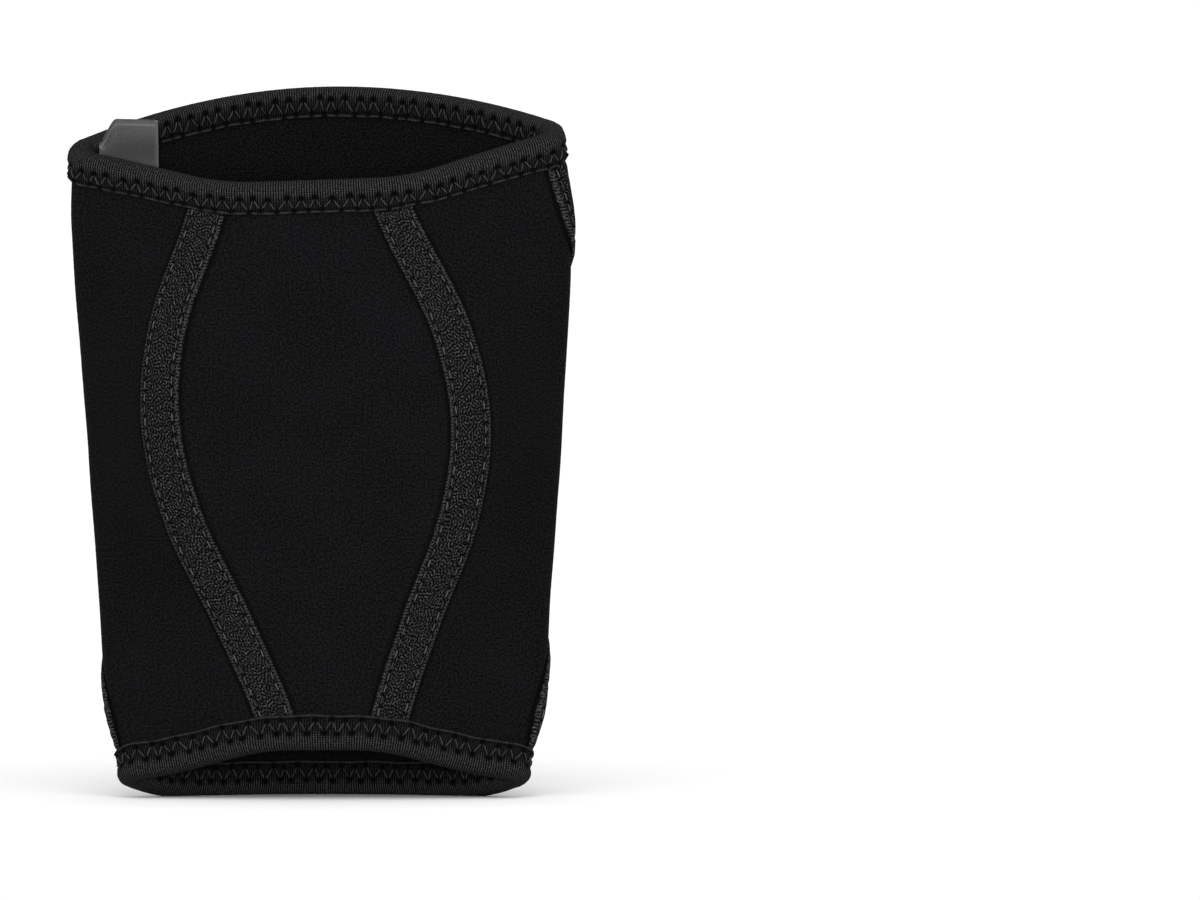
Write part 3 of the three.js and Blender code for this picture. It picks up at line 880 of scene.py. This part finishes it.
def binding_outline(leg, inner_leg):
    """Offsets and depths round the folded cloth: up outside, over the roll, down inside and back."""
    turn = leg * LEG_TURN
    outer = np.linspace(leg, turn, LEG_POINTS, endpoint=False)
    inner = np.linspace(inner_leg, turn, LEG_POINTS, endpoint=False)
    angles = np.linspace(0.0, math.pi, ROLL_POINTS)
    bend = 2.0 / ROLL_POWER
    roll_offset = BINDING_OUT * np.sign(np.cos(angles)) * np.abs(np.cos(angles)) ** bend
    roll_depth = turn * (1 - np.sin(angles) ** bend)
    lining_half = np.array([BINDING_IN, BINDING_IN, BINDING_IN, FACE])
    lining = np.array([leg, leg * LEG_MIDDLE, turn, ROLL])
    inner_lining = np.array([inner_leg, inner_leg * LEG_MIDDLE, turn, ROLL])
    offset = np.concatenate([
        np.full(LEG_POINTS, BINDING_OUT), roll_offset, np.full(LEG_POINTS, -BINDING_OUT),
        -lining_half, lining_half[::-1], [BINDING_OUT],
    ])
    depth = np.concatenate([outer, roll_depth, inner[::-1], inner_lining, lining[::-1], [leg]])
    face = np.concatenate([np.ones(2 * LEG_POINTS + ROLL_POINTS), np.zeros(LINING_POINTS), [1.0]])
    return offset, depth, face


class Rim:
    """One rim's lengths, the needle rows of its zigzag, and the tapes that run under it."""

    def __init__(self, row):
        self.end = row["end"]
        near, far, self.leg = row["outside"]
        self.needles = (near, far)
        self.outside = (0.0, near - SAME_DEPTH, near, far, self.leg)
        near, far, self.inner_leg = row["inside"]
        self.inside = (0.0, near - SAME_DEPTH, near, far, self.inner_leg)
        self.seed = row["seed"]
        at, _direction = cloth(RIM_PARTS, self.end.rim(RIM_PARTS), BINDING_OUT)
        self.lengths = run_along(at)
        self.total = self.lengths[-1]
        self.count = round(self.total / ZIGZAG_PITCH)
        self.pitch = self.total / self.count
        middle = self.end.heights.mean()
        names = ("front_left", "front_right", "back_right", "back_left")
        self.tapes = [self.along(seam(name, middle) % 1.0) for name in names]

    def along(self, part):
        return np.interp(part, RIM_PARTS, self.lengths)

    def part(self, along):
        return np.interp(along % self.total, self.lengths, RIM_PARTS)

    def apart(self, along, place):
        """Distance along the rim between two places, the short way round."""
        gap = np.abs(along - place) % self.total
        return np.minimum(gap, self.total - gap)

    def sewn(self, depth, face):
        """Depth on the outer leg that is sewn like this depth on the face's own leg."""
        return np.where(face < 0, np.interp(depth, self.inside, self.outside), depth)

    def laid(self, sewn, face):
        """Depth on the face's own leg that is sewn like this depth on the outer leg."""
        return np.where(face < 0, np.interp(sewn, self.outside, self.inside), sewn)

    def half(self, depth):
        """How far the folded cloth stands off the middle of the neoprene at a depth."""
        short = np.clip(1 - depth / (self.leg * LEG_TURN), 0.0, 1.0)
        return BINDING_OUT * (1 - short ** ROLL_POWER) ** (1 / ROLL_POWER)

    def needle(self, index, row):
        """Place along the rim, and depth, of one hole of the near row 0 or the far row 1."""
        number = index % self.count
        first, second, third = (np.sin(turn * number + self.seed + row) for turn in STRAY_TURNS)
        along = (index + row / 2) * self.pitch + STRAY_ALONG[0] * first + STRAY_ALONG[1] * second
        return along, np.asarray(self.needles)[row] + STRAY_DEPTH * third

    def holes(self, along, depth):
        """Nearness of a place to a needle hole, from 0 to 1, in the near and the far row."""
        result = []
        for row, reach in enumerate(HOLE_REACHES):
            place, row_depth = self.needle(np.round(along / self.pitch - row / 2), row)
            result.append(bump(np.hypot(along - place, depth - row_depth), reach))
        return result

    def height(self, along, depth):
        """Height at a depth in from the rim, with the unevenness of the sewn cloth."""
        wobble = 1 + waves("wobble", along, depth, self.seed, self.total)
        return self.end.rim(self.part(along)) + self.end.inward * depth * wobble

    def by_near_hole(self, along):
        """1 beside the holes of the near row, 0 beside those of the far row."""
        return (1 + np.cos(TURN * along / self.pitch)) / 2

    def groove(self, along, depth):
        """Drawn-in line between the far row and the welt, broken at the holes; its dark is painted shade."""
        return bump(depth - (self.leg - GROOVE_BACK), GROOVE_REACH) * self.by_near_hole(along)

    def welt(self, depth):
        """Raised line near the end of the leg."""
        return bump(depth - (self.leg - WELT_BACK), WELT_REACH)

    def rise(self, along, depth, face):
        """Relief of the sewn cloth, on the outer face 1 or the inner face -1."""
        near, far = self.needles
        first, second, third, fourth = PRESS_EDGES
        band = ramp(depth, near - first, near + second) * (1 - ramp(depth, far - third, far + fourth))
        scallop = bump(depth - (near - SCALLOP_BACK), SCALLOP_REACH) * (1 - self.by_near_hole(along))
        relief = SCALLOP * scallop - PRESS * band + WELT * self.welt(depth)
        relief = relief - GROOVE * self.groove(along, depth)
        relief = relief + waves("wrinkles", along, depth, self.seed, self.total)
        creases = waves("fold_wrinkles", along, depth, self.seed, self.total)
        for part in FOLD_PARTS:
            relief = relief + creases * bump(self.apart(along, self.along(part)), FOLD_WRINKLE_REACH)
        for deep, near_hole in zip(HOLES, self.holes(along, depth)):
            relief = relief - deep * near_hole
        relief = relief * np.abs(face)
        over = ramp(depth, TAPE_RISE_START * self.leg, self.leg - TAPE_RISE_END) * (face > 0)
        for rise, place in zip(TAPE_RISES, self.tapes):
            relief = relief + rise * over * bump(self.apart(along, place), TAPE_RISE_REACH)
        return relief


def binding(row, rim):
    """Ring of ribbed cloth folded over a rim, drawn in along its two needle rows."""
    outline_offset, outline_depth, outline_face = binding_outline(rim.leg, rim.inner_leg)
    points_round = len(outline_offset) - 1
    bm = grid_mesh(RIM_COLUMNS, points_round)
    across, up = parts_of(bm.verts)
    index = np.round(up * points_round).astype(int)
    offset, depth, shown = outline_offset[index], outline_depth[index], outline_face[index]
    column = np.round(across * RIM_COLUMNS) % RIM_COLUMNS
    along = (column / RIM_COLUMNS + BACK_MIDDLE) % 1.0 * rim.total
    part = rim.part(along)
    side = np.clip(offset / BINDING_OUT * SIDE_SHARPNESS, -1.0, 1.0) * shown
    sewn = rim.sewn(depth, side)
    z = rim.height(along, depth)
    points, _direction = cloth(part, z, offset + np.sign(offset) * rim.rise(along, sewn, side) * shown)
    points[:, 2] = np.maximum(points[:, 2], 0.0)
    near = rim.needles[0]
    # Marks for painted shade in the holes and the groove, painted highlight and shade on the roll, and
    # painted highlight on the welt.
    marks = {
        "hole": GROOVE_SHADE_MARK * rim.groove(along, sewn),
        "roll": 1 - ramp(sewn, near - ROLL_HIGHLIGHT_EDGE, near + ROLL_HIGHLIGHT_EDGE),
        "welt": WELT_HIGHLIGHT_MARK * rim.welt(sewn) * shown,
    }
    for strength, near_hole in zip(HOLE_SHADE_MARKS, rim.holes(along, sewn)):
        marks["hole"] = marks["hole"] + strength * near_hole
    marks["hole"] = np.clip(marks["hole"], 0.0, 1.0) * np.abs(side)
    lengths = run_along(np.stack([outline_offset, outline_depth], axis=1))
    settle(bm, points, np.stack([across * rim.total, lengths[index]], axis=1), marks)
    piece = finished(bm, row["name"] + "_cloth", RIBBED_BINDING, "binding", row["name"])
    zigzags = [zigzag(row, rim, face) for face in (1, -1)]


# Sewing threads: thickness, and how far they stand over the cloth and dip into their holes.
THREAD = 0.34
THREAD_SIDES = 6
LEG_STEPS = 12
THREAD_LIFT = 0.13
THREAD_DIP = 0.6
THREAD_ENTRY = 0.3
# Share of painted shade left on a stitch where it stands out of its holes.
STITCH_TOP_SHADE = 0.1


def arched(share):
    """How far a stitch is out of its holes, from 0 to 1, and its height over the cloth."""
    arch = ramp(share, 0.0, THREAD_ENTRY) * ramp(1 - share, 0.0, THREAD_ENTRY)
    return arch, THREAD_LIFT * arch - THREAD_DIP * (1 - arch)


def thread(name, path, normals, deep, pale, closed, slot):
    """Sewing thread along a path over the cloth, marked for painted shade where it lies deep, and marked
    where it is pale.
    """
    ahead = np.roll(path, -1, axis=0) - np.roll(path, 1, axis=0) if closed else np.gradient(path, axis=0)
    ahead = unit(ahead)
    side = unit(np.cross(ahead, normals))
    over = np.cross(side, ahead)
    if closed:
        path, side, over, deep, pale = (np.concatenate([a, a[:1]]) for a in (path, side, over, deep, pale))
    steps = len(path) - 1
    run = run_along(path)
    bm = grid_mesh(THREAD_SIDES, steps)
    across, up = parts_of(bm.verts)
    index = np.round(up * steps).astype(int)
    angle = np.round(across * THREAD_SIDES) % THREAD_SIDES * (TURN / THREAD_SIDES)
    ring = np.cos(angle)[:, None] * side[index] + np.sin(angle)[:, None] * over[index]
    marks = {"deep": deep[index], "pale": pale[index]}
    settle(bm, path[index] + ring * THREAD / 2, np.stack([across, run[index]], axis=1), marks)
    bmesh.ops.remove_doubles(bm, verts=bm.verts[:], dist=WELD)
    ends = [edge for edge in bm.edges if edge.is_boundary]
    if ends:
        bmesh.ops.holes_fill(bm, edges=ends, sides=0)
    return finished(bm, name, SEWING_THREAD, slot)


def zigzag(row, rim, face):
    """Zigzag of thread along a binding, outside where face is 1 and inside where it is -1."""
    count = 2 * rim.count
    index = np.arange(count * LEG_STEPS)
    hole = index // LEG_STEPS
    share = (index % LEG_STEPS) / LEG_STEPS
    starts = np.arange(count + 1)
    along, depths = rim.needle(starts // 2, starts % 2)
    place = along[hole] * (1 - share) + along[hole + 1] * share
    sewn = depths[hole] * (1 - share) + depths[hole + 1] * share
    depth = rim.laid(sewn, face)
    arch, lift = arched(share)
    stand = rim.half(depth) + rim.rise(place, sewn, np.full_like(sewn, float(face))) + lift
    points, direction = cloth(rim.part(place), rim.height(place, depth), face * stand)
    points[:, 2] = np.maximum(points[:, 2], THREAD / 2)
    name = row["name"] + "_zigzag_" + ("outer" if face > 0 else "inner")
    # Painted shade where the zigzag dives into its holes.
    return thread(name, points, direction * face, 1 - arch, np.zeros_like(arch), True, "binding")


RIMS = {row["name"]: Rim(row) for row in BINDINGS}
for one in BINDINGS:
    binding(one, RIMS[one["name"]])

# Tapes: how far they run under a binding, their stitch rows, and the knots along their edges.
TAPE_COLUMNS = 30
TAPE_ROWS = 380
TAPE_UNDER = 2.2
TAPE_FLAT = 0.45
TAPE_FLAT_REACH = 3.0
TAPE_EDGE_POWER = 14
TAPE_LEAST = 0.12
STITCH_INSIDE = 1.65
STITCH_PITCH = 3.4
STITCH_SHIFT = 0.4
STITCH_STEPS = 10
STITCH_GROOVE = 0.28
STITCH_GROOVE_REACH = 0.4
STITCH_HOLE = 0.32
STITCH_HOLE_REACH = 0.5
STITCH_END = 1.0
# Painted shade along the stitch grooves.
STITCH_GROOVE_SHADE = 0.75
STITCH_PALE = 0.55
STITCH_PALE_TURN = 2.4
KNOT = 0.14
KNOT_BACK = 0.45
KNOT_REACH = 0.34
TAPES = (
    {"name": "front_tape_left", "seam": "front_left", "seed": 31},
    {"name": "front_tape_right", "seam": "front_right", "seed": 37},
    {"name": "back_tape_left", "seam": "back_left", "seed": 43},
    {"name": "back_tape_right", "seam": "back_right", "seed": 49},
)
TAPE_FACE = FACE + GAP / 2
STITCH_ACROSS = 1 - 2 * STITCH_INSIDE / TAPE_WIDTH


class Strip:
    """One tape: its middle line up the sleeve, and the relief that its sewing gives it."""

    def __init__(self, row):
        self.seam = row["seam"]
        self.seed = row["seed"]
        stretch = seam_stretch(self.seam, LEVELS)
        self.half = TAPE_WIDTH / 2 * stretch
        self.run = np.cumsum(stretch * LEVEL_STEP)

    def line(self, across):
        return lambda z: seam(self.seam, z) + across * np.interp(z, LEVELS, self.half) / girth(z)

    def along(self, z):
        return np.interp(z, LEVELS, self.run)

    def height(self, along):
        return np.interp(along, self.run, LEVELS)

    def ends(self, across):
        """Heights of the tape's two ends, under the bindings."""
        line = self.line(across)
        low = BOTTOM.height_in(line, np.full_like(across, RIMS["bottom_binding"].leg - TAPE_UNDER))
        high = TOP.height_in(line, np.full_like(across, RIMS["top_binding"].leg - TAPE_UNDER))
        return low, high

    def stitch(self, across, along):
        """Running count of stitches, a whole number at each hole."""
        return along / STITCH_PITCH + np.where(across > 0, 0.0, STITCH_SHIFT)

    def off_row(self, across):
        """Distance across the tape from the nearer stitch row."""
        return (np.abs(across) - STITCH_ACROSS) * TAPE_WIDTH / 2

    def holes(self, across, along):
        near = wrapped(self.stitch(across, along)) * STITCH_PITCH
        return bump(np.hypot(self.off_row(across), near), STITCH_HOLE_REACH)

    def groove(self, across):
        """Drawn-in line along each stitch row."""
        return bump(self.off_row(across), STITCH_GROOVE_REACH)

    def knots(self, across):
        """Raised line of small knots along the tape's edges."""
        return bump(TAPE_WIDTH / 2 * (1 - np.abs(across)) - KNOT_BACK, KNOT_REACH)

    def thickness(self, across, along, low, high, z):
        body = TAPE * np.clip(1 - np.abs(across) ** TAPE_EDGE_POWER, 0.0, 1.0)
        relief = KNOT * self.knots(across) - STITCH_GROOVE * self.groove(across)
        relief = relief - STITCH_HOLE * self.holes(across, along)
        relief = relief + waves("tape_wave", along, across, self.seed)
        reach = (TAPE_UNDER, TAPE_UNDER + TAPE_FLAT_REACH)
        free = ramp(z - low, *reach) * ramp(high - z, *reach)
        return np.maximum(body + relief, TAPE_LEAST) * (TAPE_FLAT + (1 - TAPE_FLAT) * free)


def tape(row):
    """Knitted tape over a seam, with its ends under the bindings and two rows of stitches."""
    strip = Strip(row)
    bm, share, up, outer = walled(TAPE_COLUMNS, TAPE_ROWS)
    across = 2 * share - 1
    low, high = strip.ends(across)
    z = low + (high - low) * up
    along = strip.along(z)
    part = strip.line(across)(z)
    thick = strip.thickness(across, along, low, high, z)
    points, _direction = cloth(part, z, TAPE_FACE + np.where(outer, thick, 0.0))
    # Painted shade in the stitch holes and along the stitch grooves.
    hole = np.maximum(strip.holes(across, along), STITCH_GROOVE_SHADE * strip.groove(across))
    marks = {"knot": strip.knots(across), "hole": hole}
    settle(bm, points, np.stack([across * TAPE_WIDTH / 2, along], axis=1), marks)
    piece = finished(bm, row["name"] + "_cloth", KNITTED_TAPE, "tape", row["name"])
    rows = [stitch_row(row, strip, side, label) for side, label in ((-1.0, "left"), (1.0, "right"))]


def stitch_row(row, strip, side, label):
    """Row of straight stitches near one edge of a tape."""
    low, high = strip.ends(np.array([side * STITCH_ACROSS]))
    start = strip.along(low)[0] + STITCH_END
    stop = strip.along(high)[0] - STITCH_END
    along = np.linspace(start, stop, int((stop - start) / STITCH_PITCH * STITCH_STEPS))
    z = strip.height(along)
    across = side * STITCH_ACROSS + waves("stitch_sway", along, z, strip.seed)
    count = strip.stitch(across, along)
    arch, lift = arched(count % 1.0)
    thick = strip.thickness(across, along, np.full_like(z, low[0]), np.full_like(z, high[0]), z)
    points, direction = cloth(strip.line(across)(z), z, TAPE_FACE + thick + lift)
    # Painted shade where the stitch dives into its holes.
    deep = 1 - (1 - STITCH_TOP_SHADE) * arch
    pale = STITCH_PALE * (1 + np.sin(STITCH_PALE_TURN * np.floor(count) + strip.seed)) / 2
    name = row["name"] + "_stitches_" + label
    return thread(name, points, direction, deep, pale, False, "tape")


for one in TAPES:
    tape(one)

# Label: sizes of the folded satin tab, its place, and how it turns, leans and bends into the corner.
LABEL_LENGTH = 14.5
LABEL_HEIGHT = 13.4
LABEL_LOOP = 2.0
LABEL_CLOTH = 0.4
LABEL_X = -60.5
LABEL_Z = 176.5
LABEL_BEHIND = 0.9
LABEL_TURN = 0.16
LABEL_LEAN = 0.3
LABEL_COLUMNS = 84
LABEL_ROWS = 36
LABEL_SWAY = 0.35
LABEL_SWELL = 0.25
LABEL_SWELL_SHIFT = 0.1
LABEL_START = -2.2
LABEL_BEND_X = 3.0
LABEL_DROP = 7.0
LABEL_SLOPE = 0.07
LABEL_RAISE = 4.6
LABEL_BACK = 1.6
FOLD_HIGHLIGHT_REACH = 0.8
SELVEDGE_IN = 1.0
SELVEDGE_REACH = 0.22
SELVEDGE_PALE = 0.55


def turned(points, angle, first, second):
    """Points turned by an angle from one axis towards another."""
    result = points.copy()
    c, s = math.cos(angle), math.sin(angle)
    result[:, first] = points[:, first] * c - points[:, second] * s
    result[:, second] = points[:, first] * s + points[:, second] * c
    return result


def label():
    """Satin tab, folded at its right end, with both ends tucked into the left corner."""
    bm, share, up, outer = walled(LABEL_COLUMNS, LABEL_ROWS)
    radius = (LABEL_LOOP - LABEL_CLOTH) / 2
    reach = LABEL_LENGTH - LABEL_LOOP / 2 - LABEL_START
    arc = math.pi * radius
    total = 2 * reach + arc
    run = share * total
    angle = np.clip((run - reach) / radius, 0.0, math.pi) - math.pi / 2
    straight = np.minimum(np.minimum(run, total - run), reach)
    folded = (run >= reach) & (run <= reach + arc)
    radii = radius + np.where(outer, LABEL_CLOTH / 2, -LABEL_CLOTH / 2)
    x = LABEL_START + straight + np.where(folded, radii * np.cos(angle), 0.0)
    corner = ramp(LABEL_BEND_X - x, 0.0, LABEL_BEND_X - LABEL_START)
    lowest = LABEL_RAISE * np.clip(x / LABEL_START, 0.0, 1.0)
    highest = LABEL_HEIGHT - LABEL_DROP * corner + LABEL_SLOPE * (LABEL_LENGTH - x)
    h = lowest + (highest - lowest) * up
    sway = LABEL_SWAY * np.sin(math.pi * x / LABEL_LENGTH)
    swell = LABEL_SWELL * np.sin(TURN * (up + LABEL_SWELL_SHIFT))
    y = radii * np.sin(angle) + LABEL_BACK * corner * up + sway + swell
    points = turned(turned(np.stack([x, y, h], axis=1), LABEL_TURN, 0, 1), LABEL_LEAN, 1, 2)
    points = points + np.array([LABEL_X, fold_y(LABEL_Z) + LABEL_BEHIND, LABEL_Z])
    # Painted highlight along the fold, and a pale woven line near the top edge.
    fold_highlight = bump(run - total / 2, FOLD_HIGHLIGHT_REACH)
    selvedge = SELVEDGE_PALE * bump(highest - h - SELVEDGE_IN, SELVEDGE_REACH)
    settle(bm, points, np.stack([run, h], axis=1), {"edge": np.maximum(fold_highlight, selvedge)})
    piece = finished(bm, "size_label_satin", LABEL_SATIN, "satin", "size_label")


label()

# Stage: pale floor that fades into the white surroundings, soft light and the camera.
FLOOR_SIZE = 3.0
FLOOR_GREY = 0.84
FLOOR_ROUGHNESS = 0.9
FADE = (0.12, 0.32)
WORLD_LIGHT = 1.06
LIGHTS = (
    {"name": "upper_light", "place": (0.02, -0.36, 0.35), "aim": (0.0, 0.0, 0.18), "size": 0.3, "power": 0.9},
    {"name": "front_light", "place": (0.1, -2.2, 0.14), "aim": (0.0, 0.0, 0.1), "size": 0.5, "power": 48.0},
)
CAMERA_PLACE = (0.078, -1.886, 0.0976)
CAMERA_LENS = 200.0
CAMERA_SENSOR = 36.0
CAMERA_CLIP = (0.05, 40.0)


def pale_floor():
    bm = bmesh.new()
    bmesh.ops.create_grid(bm, x_segments=1, y_segments=1, size=FLOOR_SIZE / 2)
    mesh = bpy.data.meshes.new("floor")
    bm.to_mesh(mesh)
    bm.free()
    paint = bpy.data.materials.new("pale_floor")
    paint.use_nodes = True
    made = Nodes(paint.node_tree)
    shader = made.tree.nodes["Principled BSDF"]
    shader.inputs["Base Color"].default_value = grey(FLOOR_GREY)
    shader.inputs["Roughness"].default_value = FLOOR_ROUGHNESS
    shader.inputs["Specular IOR Level"].default_value = 0.0
    place = made.add("ShaderNodeTexCoord").outputs["Object"]
    away = made.add("ShaderNodeVectorMath", {0: place}, operation="LENGTH").outputs["Value"]
    clear = made.add("ShaderNodeBsdfTransparent").outputs["BSDF"]
    inputs = {"Fac": made.spread(away, *FADE), 1: shader.outputs["BSDF"], 2: clear}
    faded = made.add("ShaderNodeMixShader", inputs).outputs["Shader"]
    made.feed(made.tree.nodes["Material Output"].inputs["Surface"], faded)
    mesh.materials.append(paint)
    linked("floor", mesh)


def soft_light(name, place, aim, size, power):
    lamp = bpy.data.lights.new(name, "AREA")
    lamp.shape = "SQUARE"
    lamp.size = size
    lamp.energy = power
    holder = linked(name, lamp)
    holder.location = place
    holder.rotation_euler = (Vector(aim) - Vector(place)).to_track_quat("-Z", "Y").to_euler()


def pale_world():
    world = bpy.data.worlds.new("pale_world")
    world.use_nodes = True
    sky = world.node_tree.nodes["Background"]
    sky.inputs["Color"].default_value = grey(1.0)
    sky.inputs["Strength"].default_value = WORLD_LIGHT
    bpy.context.scene.world = world


def camera():
    lens = bpy.data.cameras.new("camera")
    lens.lens = CAMERA_LENS
    lens.sensor_width = CAMERA_SENSOR
    lens.clip_start, lens.clip_end = CAMERA_CLIP
    holder = linked("camera", lens)
    holder.location = CAMERA_PLACE
    holder.rotation_euler = (math.pi / 2, 0.0, 0.0)
    bpy.context.scene.camera = holder


pale_floor()
pale_world()
for one in LIGHTS:
    soft_light(**one)
camera()
bpy.context.scene.view_settings.view_transform = "Standard"

bpy.context.view_layer.update()
